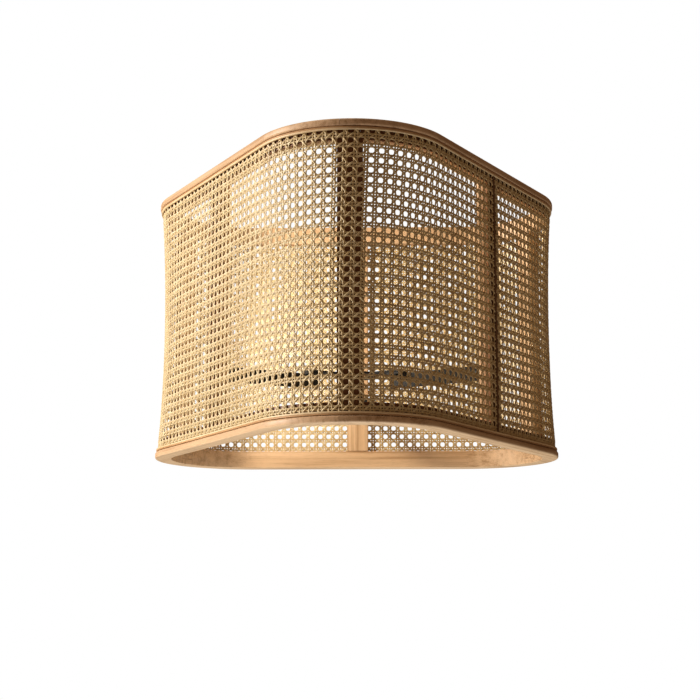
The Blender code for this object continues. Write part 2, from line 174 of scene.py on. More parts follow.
rim = {
    "height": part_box("rim_bottom_back")[1].z,
    "width": 0.0235,
    "lip": 0.0090,
    "lipRound": 0.0026,
    "rabbet": 0.0067,
    "arris": 0.0011,
    "fingerReach": 0.013,
    "fingers": (0.0080, 0.0158),  # where the middle finger starts and ends, up the rim
    "cutDeep": 0.05,  # how far the cuts for the fingers run through and past the wood
    "cutPast": 0.02,
    "cutWide": 0.03,
    "arcStep": 3.0,
    "flatSteps": 12,
}
web = {
    "setback": 0.0040,
    "thickness": 0.0024,
    "pull": 0.0070,
    "pullLength": 0.180,
    "postHalf": 0.016,
    "rowStart": 0.0187,
    "rowPitch": 0.01262,
    "rowCount": 28,
    "strandWidth": 0.0023,
    "diagonalWidth": 0.0024,
    "strandThickness": 0.00100,
    "pairHalf": 0.00186,
    "weave": 0.00032,
    "diagonalRise": 0.00076,
    "shift": -0.0027,  # a pair of uprights stands here, measured from the seam
    "seamHalf": 0.0021,
    "missing": 1,  # columns short of an even count, where the sheet was stretched to meet the seam
    "stretchFrom": 123,
    "lean": 0.0104,  # how far the uprights lean over beside the front corner
    "leanFrom": 0.09,
    "leanPower": 1.6,
    "leanSpan": (-0.13, 0.29),  # either side of the front corner's middle
    "bow": 0.00042,  # how far a diagonal strays sideways between crossings
    "sway": 0.00012,  # how far an upright or a round strays sideways
    "crossing": 0.0021,  # a diagonal stays level this far either side of a crossing, in height
    "shortest": 0.004,  # diagonals shorter than this, in height, are left out
    "seed": 7,
}
bead = {
    "start": 0.0007,
    "height": 0.0044,
    "thickness": 0.0024,
    "lobes": ((0.42, 0.0003), (0.58, 0.0)),  # share of the height and setback, from the lip inwards
    "lobeDepth": 0.0008,
    "joint": 0.030,
    "flatStep": 0.010,
    "light": (0.88, 0.72, 0.48),
    "dark": (0.76, 0.56, 0.32),
    # painted shade: a darker copy of the reed colour for the lobe beside the lip, for the shade next to
    # the lip
    "ridge": ((0.70, 0.46, 0.25), (0.50, 0.29, 0.13)),  # light and dark of the lobe beside the lip
}
spline = {"half": 0.0018, "proud": 0.0006, "groove": 0.0020, "steps": 60}


def facing(degrees):
    angle = math.radians(degrees)
    return np.array([math.cos(angle), math.sin(angle)])


def cornerPoint(degrees):
    return centre + facing(degrees) * 2 * core


class Outline:
    # Runs anticlockwise from the seam, at the middle of the right side, at one inset from the outer face
    def __init__(self, inset):
        self.radius = cornerRadius - inset
        self.arc = math.radians(120) * self.radius
        self.length = 3 * (2 * halfFlat + self.arc)

    def at(self, run):
        # turning points, outward directions and the distance from the nearest corner's middle
        run = np.mod(np.asarray(run, float), self.length)
        third = self.length / 3
        lap = np.floor(run / third).astype(int) % 3
        along = run - lap * third
        turned = np.radians(120.0 * lap)
        angle = np.radians(sides["right"]) + turned
        onArc = (along > halfFlat) & (along < halfFlat + self.arc)
        pastArc = along >= halfFlat + self.arc
        onNext = np.where(pastArc, along - self.arc - 2 * halfFlat, halfFlat)
        bend = np.where(onArc, (along - halfFlat) / self.radius, np.where(pastArc, math.radians(120), 0.0))
        flat = np.where(along <= halfFlat, along, onNext)
        outward = np.stack([np.cos(angle + bend), np.sin(angle + bend)], -1)
        tangent = np.stack([-outward[..., 1], outward[..., 0]], -1)
        vertexAngle = angle + math.radians(60)
        vertex = centre + np.stack([np.cos(vertexAngle), np.sin(vertexAngle)], -1) * 2 * core
        middle = centre + outward * core
        turning = np.where(onArc[..., None], vertex, middle + tangent * flat[..., None])
        halfArc = math.radians(60)
        fromFlat = halfArc * cornerRadius + halfFlat - np.abs(flat)
        fromCorner = np.where(onArc, np.abs(bend - halfArc) * cornerRadius, fromFlat)
        return turning, outward, fromCorner


def newPiece(name, mesh, finish, replaced=()):
    piece = bpy.data.objects.new(name, mesh)
    bpy.context.scene.collection.objects.link(piece)
    mesh.materials.clear()
    mesh.materials.append(finish)
    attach(piece, "root")
    if replaced:
        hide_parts(*replaced)
    return piece


def meshFrom(name, points, quads, caps=()):
    # quads: (n, 4) vertex numbers, caps: lists of vertex numbers
    mesh = bpy.data.meshes.new(name)
    quads = np.asarray(quads, np.int32)
    capCorners = [i for cap in caps for i in cap]
    loops = np.concatenate([quads.ravel(), np.array(capCorners, np.int32)])
    sizes = np.concatenate([np.full(len(quads), 4, np.int32), np.array([len(c) for c in caps], np.int32)])
    starts = np.concatenate([[0], np.cumsum(sizes)[:-1]]).astype(np.int32)
    mesh.vertices.add(len(points))
    mesh.vertices.foreach_set("co", np.asarray(points, np.float32).ravel())
    mesh.loops.add(len(loops))
    mesh.loops.foreach_set("vertex_index", loops)
    mesh.polygons.add(len(sizes))
    mesh.polygons.foreach_set("loop_start", starts)
    mesh.update(calc_edges=True)
    mesh.validate()
    return mesh


def setValues(mesh, name, values, kind="FLOAT"):
    layer = mesh.attributes.new(name, kind, "POINT")
    field = "vector" if kind == "FLOAT_VECTOR" else "value"
    layer.data.foreach_set(field, np.asarray(values, np.float32).ravel())


def smoothed(mesh, degrees=40):
    mesh.shade_smooth()
    mesh.set_sharp_from_angle(angle=math.radians(degrees))


def outwardFaces(mesh):
    made = bmesh.new()
    made.from_mesh(mesh)
    bmesh.ops.recalc_face_normals(made, faces=made.faces)
    made.to_mesh(mesh)
    made.free()


# Woven cane


sheet = Outline(web["setback"] + web["thickness"] / 2)
evenCount = round(sheet.length / web["rowPitch"])
pitch = sheet.length / evenCount
columns = evenCount - web["missing"]
sheetEnd = columns * pitch
frontRun = sheet.length * 5 / 6
rowPitch = web["rowPitch"]
sheetLow = rim["lip"] + 2 * hairline
sheetHigh = height - sheetLow
chance = np.random.default_rng(web["seed"])


def saddle(fromCorner, rise):
    # how far the webbing is pulled in, at a distance from a corner's middle and at a height
    up = (rise - rim["height"]) / (height - 2 * rim["height"])
    upShare = np.clip(4 * up * (1 - up), 0, 1)
    past = np.clip((fromCorner - web["postHalf"]) / web["pullLength"], 0, 1)
    return web["pull"] * upShare * np.sin(np.pi * past) ** 2


def eased(share):
    share = np.clip(share, 0, 1)
    return share * share * (3 - 2 * share)


def pulled(run, rise):
    # where a place on the even weave ends up once the sheet is stretched on the frame
    stretchStart = web["stretchFrom"] * pitch
    stretch = web["missing"] * pitch * eased((run - stretchStart) / (sheetEnd - stretchStart))
    low, high = web["leanSpan"]
    beside = np.clip((run + stretch - frontRun - low) / (high - low), 0, 1)
    up = np.clip((rise - web["leanFrom"]) / (height - web["leanFrom"]), 0, 1)
    return run + stretch + web["lean"] * up ** web["leanPower"] * np.sin(np.pi * beside) ** 2


def webPoint(run, rise, lift):
    # lift is outward from the middle of the webbing
    turning, outward, fromCorner = sheet.at(pulled(run, rise))
    out = cornerRadius - web["setback"] - web["thickness"] / 2 - saddle(fromCorner, rise) + lift
    return np.concatenate([turning + outward * out[..., None], rise[..., None]], -1)


def strandMesh(name, strands, strandWidth):
    # strands: list of (runs, rises, lifts); each becomes a closed strip with a domed outer face
    across = np.array([-0.5, -0.34, 0.0, 0.34, 0.5])
    domed = np.array([-0.35, 0.24, 0.5, 0.24, -0.35])
    wideCount = len(across)
    points, quads, caps, tone, along, side = [], [], [], [], [], []
    start = 0
    for runs, rises, lifts in strands:
        count = len(runs)
        step = np.gradient(np.stack([runs, rises]), axis=1)
        step /= np.linalg.norm(step, axis=0)
        wide = strandWidth * chance.uniform(0.93, 1.05)
        thick = web["strandThickness"] * chance.uniform(0.95, 1.05)
        run = runs[:, None] + step[1][:, None] * across * wide
        rise = rises[:, None] - step[0][:, None] * across * wide
        lift = lifts[:, None] + domed * thick
        points.append(webPoint(run, rise, lift).reshape(-1, 3))
        ring = start + np.arange(count - 1)[:, None] * wideCount + np.arange(wideCount)
        beside = start + np.arange(count - 1)[:, None] * wideCount + (np.arange(wideCount) + 1) % wideCount
        quads.append(np.stack([ring, ring + wideCount, beside + wideCount, beside], -1).reshape(-1, 4))
        end = start + wideCount * count
        caps.append(list(range(start, start + wideCount)))
        caps.append(list(range(end - 1, end - wideCount - 1, -1)))
        tone.append(np.full(wideCount * count, chance.random()))
        steps = np.cumsum(np.hypot(np.diff(runs), np.diff(rises)))
        length = np.concatenate([[0], steps]) + chance.random() * 9
        along.append(np.repeat(length, wideCount))
        side.append(np.tile(across, count))
        start = end
    mesh = meshFrom(name, np.concatenate(points), np.concatenate(quads), caps)
    setValues(mesh, "tone", np.concatenate(tone))
    setValues(mesh, "along", np.concatenate(along))
    setValues(mesh, "side", np.concatenate(side))
    smoothed(mesh, 80)
    return mesh


rowHeights = web["rowStart"] + rowPitch * np.arange(web["rowCount"])
columnRuns = web["shift"] + pitch * np.arange(columns + 1)


def uprights():
    found = []
    half = web["pairHalf"]
    clear = web["seamHalf"] + web["strandWidth"] / 2
    for column in range(columns + 1):
        for hand in (0, 1):
            run = columnRuns[column] + (half if hand else -half)
            if run < clear or run > sheetEnd - clear:
                continue
            rises, lifts = [sheetLow], [0.0]
            for row in rowHeights:
                for level in (0, 1):
                    rises.append(row + (half if level else -half))
                    lifts.append(web["weave"] if (hand + level) % 2 == 0 else -web["weave"])
            rises.append(sheetHigh)
            lifts.append(0.0)
            rises = np.array(rises)
            sway = web["sway"] * np.sin(rises * chance.uniform(20, 60) + chance.uniform(0, 6))
            found.append((run + sway, rises, np.array(lifts)))
    return found


def rounds():
    found = []
    half = web["pairHalf"]
    for row in rowHeights:
        for level in (0, 1):
            runs, lifts = [web["seamHalf"]], [0.0]
            for column in columnRuns:
                for hand in (0, 1):
                    run = column + (half if hand else -half)
                    if web["seamHalf"] + 0.0004 < run < sheetEnd - web["seamHalf"] - 0.0004:
                        runs.append(run)
                        lifts.append(-web["weave"] if (hand + level) % 2 == 0 else web["weave"])
            runs.append(sheetEnd - web["seamHalf"])
            lifts.append(0.0)
            runs = np.array(runs)
            rise = row + (half if level else -half)
            sway = web["sway"] * np.sin(runs * chance.uniform(20, 60) + chance.uniform(0, 6))
            found.append((runs, rise + sway, np.array(lifts)))
    return found


def diagonals(lean):
    # lean 1 climbs to the right over the rounds, lean -1 climbs to the left over the uprights
    found = []
    first = web["rowStart"] - rowPitch
    knots, lifts = [], []
    for step in range(2 * web["rowCount"] + 4):
        onRow = step % 2 == 0
        over = onRow if lean == 1 else not onRow
        for edge in (-web["crossing"], 0, web["crossing"]):
            knots.append(first + step * rowPitch / 2 + edge)
            lifts.append(web["diagonalRise"] if over else -web["diagonalRise"])
    knots, lifts = np.array(knots), np.array(lifts)
    spread = web["rowCount"] + 4  # diagonals that start past either end of the sheet
    low, high = web["seamHalf"], sheetEnd - web["seamHalf"]
    for number in range(-spread, columns + spread):
        base = web["shift"] + (number + 0.5) * pitch
        bow = lambda rise: web["bow"] * np.sin(2 * np.pi * (rise - web["rowStart"]) / rowPitch)
        runOf = lambda rise: base + lean * ((rise - web["rowStart"]) * pitch / rowPitch + bow(rise))
        riseOf = lambda run: web["rowStart"] + lean * (run - base) * rowPitch / pitch
        ends = sorted((riseOf(low + web["bow"]), riseOf(high - web["bow"])))
        bottom, top = max(sheetLow, ends[0]), min(sheetHigh, ends[1])
        if top - bottom < web["shortest"]:
            continue
        inside = knots[(knots > bottom + 0.0005) & (knots < top - 0.0005)]
        rises = np.concatenate([[bottom], inside, [top]])
        found.append((runOf(rises), rises, np.interp(rises, knots, lifts)))
    return found


cane = {
    "straw": [
        (0.22, (0.56, 0.40, 0.20)),
        (0.42, (0.69, 0.54, 0.30)),
        (0.62, (0.78, 0.65, 0.40)),
        (0.85, (0.86, 0.76, 0.53)),
    ],
    "knot": (0.33, 0.19, 0.09),
    "roughness": (0.28, 0.46),
}


def caneFinish():
    finish = Finish("cane", Specular_IOR_Level=0.5, Coat_Roughness=0.3)
    tone = finish.attribute("tone")
    along = finish.attribute("along")
    side = finish.attribute("side")
    place = finish.combined(along * 14.0, side * 0.9, tone * 50.0)
    patch = finish.noise(place, 1.0, 2.0)
    fibre = finish.noise(finish.combined(along * 60.0, side * 9.0, tone * 90.0), 1.0, 3.0, 0.65)
    shade = tone * 0.30 + patch * 0.50 + fibre * 0.20
    straw = finish.ramp(shade, cane["straw"])
    knot = finish.span(finish.noise(finish.combined(along * 5.0, 0.0, tone * 70.0), 1.0, 0.0), 0.70, 0.76)
    finish.drive(Base_Color=finish.mix(knot * 0.45, straw, (*cane["knot"], 1)))
    finish.drive(Roughness=finish.span(fibre, 0.3, 0.7, *cane["roughness"]))
    finish.bump(fibre, 0.12, 0.0001)
    return finish.material


caneMaterial = caneFinish()
families = {
    "cane_uprights": (uprights, web["strandWidth"]),
    "cane_rounds": (rounds, web["strandWidth"]),
    "cane_rising_odd": (lambda: diagonals(1)[::2], web["diagonalWidth"]),
    "cane_rising_even": (lambda: diagonals(1)[1::2], web["diagonalWidth"]),
    "cane_falling_odd": (lambda: diagonals(-1)[::2], web["diagonalWidth"] * 0.96),
    "cane_falling_even": (lambda: diagonals(-1)[1::2], web["diagonalWidth"] * 0.96),
}
for name, (maker, strandWidth) in families.items():
    mesh = strandMesh(name, maker(), strandWidth)
    newPiece(name, mesh, caneMaterial, ["cane_webbing"])
    print("woven", name, len(mesh.polygons))


# Wood


woods = {
    "light": (0.670, 0.465, 0.285),
    "dark": (0.420, 0.245, 0.120),
    # painted shade: the dark brown given to wood behind the webbing, standing in for the shadow it sits in
    "shadowBrown": (0.220, 0.092, 0.032),  # behind the webbing
    "shadeReach": 0.0012,
}


def woodFinish(name, light, dark, offset, roughness=0.42):
    # straight-grained wood: the grain attribute runs along the board, across it and up,
    # and where the mask attribute is 1, behind the webbing, the wood is painted a dark brown as painted
    # shade for the shadow there
    finish = Finish(name, Specular_IOR_Level=0.45)
    grain = finish.shifted(finish.attribute("grain", "Vector"), offset)
    wander = finish.noise(finish.scaled(grain, (1.6, 10.0, 10.0)), 1.0, 2.0)
    board = finish.shifted(grain, finish.combined(0.0, wander * 0.006, wander * 0.004))
    rings = finish.noise(finish.scaled(board, (2.2, 230.0, 110.0)), 1.0, 2.0, 0.6)
    streaks = finish.noise(finish.scaled(board, (9.0, 900.0, 700.0)), 1.0, 3.0, 0.7)
    pores = finish.span(finish.noise(finish.scaled(board, (70.0, 2600.0, 2200.0)), 1.0, 1.0), 0.60, 0.72)
    cloud = finish.noise(finish.scaled(grain, (7.0, 40.0, 40.0)), 1.0, 2.0)
    shade = rings * 0.50 + streaks * 0.32 + cloud * 0.28
    palest = tuple(min(1.0, c * 1.16) for c in light)
    colour = finish.ramp(shade, [(0.38, dark), (0.55, light), (0.72, palest)])
    bare = finish.mix(pores * 0.35, colour, (*[c * 0.55 for c in dark], 1))
    # painted shade: wood behind the webbing is mixed to the dark painted-shade brown
    finish.drive(Base_Color=finish.mix(finish.attribute("covered"), bare, (*woods["shadowBrown"], 1)))
    finish.drive(Roughness=finish.span(streaks, 0.3, 0.7, roughness, roughness + 0.16))
    finish.bump(streaks * 0.5 - pores * 0.6, 0.3, 0.0002)
    return finish.material


def grainOf(points, degrees):
    # board coordinates of points, for a board that lies along the side facing that way
    points = np.asarray(points)
    outward = facing(degrees)
    sideways = facing(degrees + 90)
    flat = points[:, :2] - centre
    return np.stack([flat @ sideways, flat @ outward, points[:, 2]], -1)


def ringPoints(run, profile):
    # run: a list of stops, each a function from insets to places; profile: (inset, rise) points
    insets, rises = np.array(profile).T
    rows = []
    for stop in run:
        rows.append(np.column_stack([stop(insets), rises]))
    return np.array(rows)


def roundStop(turning, degrees):
    return lambda insets: turning + facing(degrees) * (cornerRadius - insets)[:, None]


def squareStop(corner, along):
    outward, sideways = facing(corner), facing(corner + 90)

    def at(insets):
        out = np.sqrt((cornerRadius - insets) ** 2 - along**2)
        return cornerPoint(corner) + sideways * along + outward * out[:, None]

    return at


def arcStops(corner, start, end):
    count = max(1, round(abs(end - start) / rim["arcStep"]))
    return [roundStop(cornerPoint(corner), corner + turn) for turn in np.linspace(start, end, count + 1)]


def flatStops(side, start, end, count):
    middle = centre + facing(sides[side]) * core
    along = facing(sides[side] + 90)
    return [roundStop(middle + along * place, sides[side]) for place in np.linspace(start, end, count + 1)]


def sweptMesh(name, stops, profile):
    rings = ringPoints(stops, profile)
    count, wide = rings.shape[:2]
    ring = np.arange(count - 1)[:, None] * wide + np.arange(wide)
    beside = np.arange(count - 1)[:, None] * wide + (np.arange(wide) + 1) % wide
    quads = np.stack([ring, ring + wide, beside + wide, beside], -1).reshape(-1, 4)
    caps = [list(range(wide)), list(range(count * wide - 1, (count - 1) * wide - 1, -1))]
    mesh = meshFrom(name, rings.reshape(-1, 3), quads, caps)
    outwardFaces(mesh)
    return mesh


def rimProfile():
    inner, arris, soft, lip = rim["width"], rim["arris"], rim["lipRound"], rim["lip"]
    quarter = np.radians(np.linspace(0, 90, 6))
    points = [(inner - arris, 0.0)]
    points += [(soft * (1 - math.sin(a)), soft * (1 - math.cos(a))) for a in quarter]
    points += [(soft * (1 - math.cos(a)), lip - soft + soft * math.sin(a)) for a in quarter]
    points += [(rim["rabbet"], lip), (rim["rabbet"], rim["height"]), (inner - arris, rim["height"])]
    for a in quarter[1:-1:2]:
        points.append((inner - arris * (1 - math.sin(a)), rim["height"] - arris * (1 - math.cos(a))))
    points += [(inner, rim["height"] - arris), (inner, arris)]
    points += [(inner - arris * (1 - math.cos(a)), arris * (1 - math.sin(a))) for a in quarter[1:-1:2]]
    return points


def boxMesh(name, boxes):
    # boxes: (direction, out range, along range, rise range), square to the direction
    made = bmesh.new()
    for degrees, out, along, rise in boxes:
        spots = []
        for z in rise:
            for a, b in ((0, 0), (0, 1), (1, 1), (1, 0)):
                flat = centre + facing(degrees) * out[a] + facing(degrees + 90) * along[b]
                spots.append(made.verts.new((flat[0], flat[1], z)))
        for face in ((0, 1, 2, 3), (7, 6, 5, 4), (0, 4, 5, 1), (1, 5, 6, 2), (2, 6, 7, 3), (3, 7, 4, 0)):
            made.faces.new([spots[i] for i in face])
    bmesh.ops.recalc_face_normals(made, faces=made.faces)
    mesh = bpy.data.meshes.new(name)
    made.to_mesh(mesh)
    made.free()
    return mesh


def withoutBoxes(mesh, boxes):
    # cuts boxes out of a mesh, for good
    body = bpy.data.objects.new("body", mesh)
    tool = bpy.data.objects.new("tool", boxMesh("tool", boxes))
    for each in (body, tool):
        bpy.context.scene.collection.objects.link(each)
    boolean = body.modifiers.new("cut", "BOOLEAN")
    boolean.operation = "DIFFERENCE"
    boolean.solver = "EXACT"
    boolean.object = tool
    result = bpy.data.meshes.new_from_object(body.evaluated_get(bpy.context.evaluated_depsgraph_get()))
    bpy.data.objects.remove(body)
    bpy.data.objects.remove(tool)
    return result


def pointsOf(mesh):
    points = np.zeros(len(mesh.vertices) * 3, np.float32)
    mesh.vertices.foreach_get("co", points)
    return points.reshape(-1, 3)


def seamGroove():
    half = spline["half"] + hairline
    back = sideDistance - rim["rabbet"] - spline["groove"]
    low = rim["lip"] + bead["start"] + bead["height"] + hairline
    return sides["right"], (back, sideDistance), (-half, half), (low, height - low)


def behindWebbingShade(mesh, degrees, inset):
    # painted shade mask: 1 at the points behind the webbing, close to an inset, and between the two lips;
    # these points are painted dark for the shadow there
    points = pointsOf(mesh)
    covered = np.zeros(len(points))
    turned = math.radians(degrees)
    flat = points[:, :2] - centre
    along = -flat[:, 0] * math.sin(turned) + flat[:, 1] * math.cos(turned)
    outward = flat[:, 0] * math.cos(turned) + flat[:, 1] * math.sin(turned)
    past = np.abs(along) - halfFlat
    out = np.where(past <= 0, outward - core, np.hypot(outward - core, past))
    proud = cornerRadius - out
    clear = (points[:, 2] > rim["lip"] - 0.0001) & (points[:, 2] < height - rim["lip"] + 0.0001)
    covered[(np.abs(proud - inset) < woods["shadeReach"]) & clear] = 1
    return covered


def makeRims():
    base = rimProfile()
    for number, level in enumerate(("bottom", "top")):
        flip = level == "top"
        profile = [(i, height - z) for i, z in base] if flip else base
        for place, (side, degrees) in enumerate(sides.items()):
            first, last = degrees - 60, degrees + 60
            reach = rim["fingerReach"]
            stops = [squareStop(first, -reach + hairline / 2)]
            stops += arcStops(first, 0, 60)[:-1]
            stops += flatStops(side, -halfFlat, halfFlat, rim["flatSteps"])
            stops += arcStops(last, -60, 0)[1:]
            stops.append(squareStop(last, reach - hairline / 2))
            name = f"rim_{level}_{side}"
            mesh = sweptMesh(name, stops, profile)
            deep, past, wide = rim["cutDeep"], rim["cutPast"], rim["cutWide"]
            out = (2 * core + cornerRadius - deep, 2 * core + cornerRadius + past)
            low, high = rim["fingers"]
            gap = hairline / 2
            spans = [(low - gap, high + gap), (-past, low + gap), (high - gap, deep)]
            if flip:
                spans = [(height - b, height - a) for a, b in spans]
            boxes = [(first, out, (-wide, reach + gap), spans[0])]
            boxes += [(last, out, (-reach - gap, wide), span) for span in spans[1:]]
            if side == "right":
                boxes.append(seamGroove())
            cutMesh = withoutBoxes(mesh, boxes)
            cutMesh.name = name
            setValues(cutMesh, "grain", grainOf(pointsOf(cutMesh), degrees), "FLOAT_VECTOR")
            # painted shade on the rims' rabbets, behind the webbing
            setValues(cutMesh, "covered", behindWebbingShade(cutMesh, degrees, rim["rabbet"]))
            smoothed(cutMesh)
            shift = (number * 3.1 + place * 1.7, place * 0.37, number * 0.21)
            finish = woodFinish(f"ash_{level}_{side}", woods["light"], woods["dark"], shift)
            newPiece(f"ash_{name}", cutMesh, finish, [name])
    print("rims done")


makeRims()


post = {
    "round": 0.0012,
    "proud": 0.0010,  # inside the rims' inner faces
    "steps": 8,
}


def postMesh(degrees, kind):
    half, soft = web["postHalf"], post["round"]
    out = (2 * core + cornerRadius if kind == "corner" else sideDistance) - rim["rabbet"]
    back = out - (rim["width"] + post["proud"] - rim["rabbet"])
    low, high = rim["height"] + hairline, height - rim["height"] - hairline
    outline = []
    for along in np.linspace(half, -half, post["steps"] + 1):
        bulge = 0.0
        if kind == "corner":
            radius = cornerRadius - rim["rabbet"]
            bulge = math.sqrt(radius**2 - along**2) - radius
        outline.append((out + bulge, along))
    quarter = np.radians((0, 30, 60, 90))
    outline += [(back + soft * (1 - math.sin(a)), -half + soft * (1 - math.cos(a))) for a in quarter]
    outline += [(back + soft * (1 - math.cos(a)), half - soft * (1 - math.sin(a))) for a in quarter]
    levels = np.linspace(low, high, post["steps"] + 1)
    rings = []
    for z in levels:
        rings.append([[*(centre + facing(degrees) * o + facing(degrees + 90) * a), z] for o, a in outline])
    rings = np.array(rings)
    wide = len(outline)
    ring = np.arange(len(levels) - 1)[:, None] * wide + np.arange(wide)
    beside = np.arange(len(levels) - 1)[:, None] * wide + (np.arange(wide) + 1) % wide
    quads = np.stack([ring, beside, beside + wide, ring + wide], -1).reshape(-1, 4)
    caps = [list(range(wide - 1, -1, -1)), list(range((len(levels) - 1) * wide, len(levels) * wide))]
    return meshFrom("post", rings.reshape(-1, 3), quads, caps)


def makePosts():
    for kind, places in (("side", sides), ("corner", corners)):
        for number, (where, degrees) in enumerate(places.items()):
            mesh = postMesh(degrees, kind)
            if where == "right":
                mesh = withoutBoxes(mesh, [seamGroove()])
            outwardFaces(mesh)
            name = f"{kind}_post_{where}"
            mesh.name = name
            grain = grainOf(pointsOf(mesh), degrees)
            setValues(mesh, "grain", grain[:, [2, 0, 1]], "FLOAT_VECTOR")
            front = 2 * core + cornerRadius if kind == "corner" else sideDistance
            # painted shade on the posts' outer faces, behind the webbing
            setValues(mesh, "covered", grain[:, 1] > front - rim["rabbet"] - woods["shadeReach"])
            smoothed(mesh)
            shift = (number * 2.3, 0.4 * number, 0.9)
            finish = woodFinish(f"ash_{name}", woods["light"], woods["dark"], shift)
            newPiece(f"ash_{name}", mesh, finish, [name])
    print("posts done")


makePosts()

dowelWood = woodFinish("beech", (0.60, 0.38, 0.22), (0.45, 0.26, 0.14), (0, 0, 0))
for name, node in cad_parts.items():
    if name.startswith("dowel_"):
        node.data.materials.clear()
        node.data.materials.append(dowelWood)


# Beads and the seam's spline


def reedFinish(name, light, dark, inner=None):
    # inner is the darker colour painted on the lobe beside the lip as painted shade, where that lobe's
    # mask attribute is 1
    finish = Finish(name, Specular_IOR_Level=0.5)
    grain = finish.attribute("grain", "Vector")
    fibre = finish.noise(finish.scaled(grain, (30.0, 1800.0, 1800.0)), 1.0, 3.0, 0.65)
    patch = finish.noise(finish.scaled(grain, (6.0, 60.0, 60.0)), 1.0, 2.0)
    shade = fibre * 0.5 + patch * 0.5
    colour = finish.ramp(shade, [(0.35, dark), (0.62, light)])
    if inner:
        # painted shade on the lobe beside the lip
        ridge = finish.ramp(shade, [(0.35, inner[1]), (0.62, inner[0])])
        colour = finish.mix(finish.attribute("ridge"), colour, ridge)
    finish.drive(Base_Color=colour)
    finish.drive(Roughness=finish.span(fibre, 0.3, 0.7, 0.38, 0.6))
    finish.bump(fibre, 0.2, 0.0001)
    return finish.material


def ringStops(offset, opening):
    steps = max(1, round(halfFlat / bead["flatStep"]))
    stops = flatStops("right", offset + opening / 2, halfFlat, steps)
    for corner, side in (("back_right", "back"), ("back_left", "left"), ("front", None)):
        stops += arcStops(corners[corner], -60, 60)[1:-1]
        if side:
            stops += flatStops(side, -halfFlat, halfFlat, 2 * steps)
    return stops + flatStops("right", -halfFlat, offset - opening / 2, steps)


def makeBeads():
    back = web["setback"] - hairline
    face = back - bead["thickness"]
    low = rim["lip"] + bead["start"]
    high = low + bead["height"]
    profile = [(back, low)]
    start = low
    for share, depth in bead["lobes"]:
        half = bead["height"] * share / 2
        for angle in np.radians((-78, -50, -20, 20, 50, 78)):
            inset = face + depth + bead["lobeDepth"] * (1 - math.cos(angle))
            profile.append((inset, start + half * (1 + math.sin(angle))))
        start += 2 * half
    profile.append((back, high))
    finish = reedFinish("reed_bead", bead["light"], bead["dark"], bead["ridge"])
    for level in ("bottom", "top"):
        section = [(i, height - z) for i, z in profile] if level == "top" else profile
        stops = ringStops(bead["joint"], hairline)
        mesh = sweptMesh(f"bead_{level}", stops, section)
        points = pointsOf(mesh)
        length = np.repeat(np.arange(len(stops)) * bead["flatStep"], len(section))
        grain = np.column_stack([length, np.zeros(len(points)), points[:, 2]])
        setValues(mesh, "grain", grain, "FLOAT_VECTOR")
        fromLip = (height - points[:, 2] if level == "top" else points[:, 2]) - low
        # painted shade mask: the lobe beside the lip
        setValues(mesh, "ridge", fromLip < bead["height"] * bead["lobes"][0][0] - 0.00001)
        smoothed(mesh, 50)
        newPiece(f"reed_bead_{level}", mesh, finish, [f"bead_{level}"])
    print("beads done")


def makeSpline():
    out = sideDistance - web["setback"] + spline["proud"]
    back = sideDistance - web["setback"] - web["thickness"] - spline["groove"]
    low = rim["lip"] + bead["start"] + bead["height"] + 2 * hairline
    half = spline["half"]
    section = [(back, -half), (back, half)]
    for along in np.linspace(half, -half, 7):
        section.append((out - 0.0006 * (abs(along) / half) ** 3, along))
    rises = np.linspace(low, height - low, spline["steps"] + 1)
    degrees = sides["right"]
    flat = [centre + facing(degrees) * o + facing(degrees + 90) * a for o, a in section]
    rings = np.array([[[*place, z] for place in flat] for z in rises])
    wide = len(section)
    ring = np.arange(len(rises) - 1)[:, None] * wide + np.arange(wide)
    beside = np.arange(len(rises) - 1)[:, None] * wide + (np.arange(wide) + 1) % wide
    quads = np.stack([ring, beside, beside + wide, ring + wide], -1).reshape(-1, 4)
    caps = [list(range(wide - 1, -1, -1)), list(range((len(rises) - 1) * wide, len(rises) * wide))]
    mesh = meshFrom("seam_spline", rings.reshape(-1, 3), quads, caps)
    outwardFaces(mesh)
    points = pointsOf(mesh)
    setValues(mesh, "grain", points[:, [2, 0, 1]], "FLOAT_VECTOR")
    smoothed(mesh, 50)
    finish = reedFinish("reed_spline", (0.30, 0.16, 0.075), (0.16, 0.08, 0.035))
    newPiece("reed_seam_spline", mesh, finish, ["seam_spline"])


makeBeads()
makeSpline()


# Spider and fasteners


def steelFinish(name, colour, metallic, roughness):
    finish = Finish(name, Metallic=metallic)
    place = finish.add("ShaderNodeTexCoord").outputs["Object"]
    grit = finish.noise(place, 2600.0, 2.0)
    wear = finish.noise(place, 45.0, 3.0)
    worn = tuple(c * 1.7 for c in colour)
    finish.drive(Base_Color=finish.mix(finish.span(wear, 0.45, 0.75) * 0.5, (*colour, 1), (*worn, 1)))
    finish.drive(Roughness=finish.span(wear, 0.3, 0.7, roughness, roughness + 0.14))
    finish.bump(grit, 0.25, 0.0001)
    return finish.material


def softened(node, name, finish, size):
    # the CAD node again with its edges rounded over
    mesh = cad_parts[node].data.copy()
    mesh.name = name
    piece = newPiece(name, mesh, finish, [node])
    made = bmesh.new()
    made.from_mesh(mesh)
    bmesh.ops.remove_doubles(made, verts=made.verts, dist=0.000005)
    bmesh.ops.dissolve_limit(made, angle_limit=math.radians(2), verts=made.verts, edges=made.edges)
    made.to_mesh(mesh)
    made.free()
    bevel = piece.modifiers.new("round", "BEVEL")
    bevel.width = size
    bevel.segments = 2
    bevel.limit_method = "ANGLE"
    bevel.angle_limit = math.radians(40)
    smoothed(mesh)


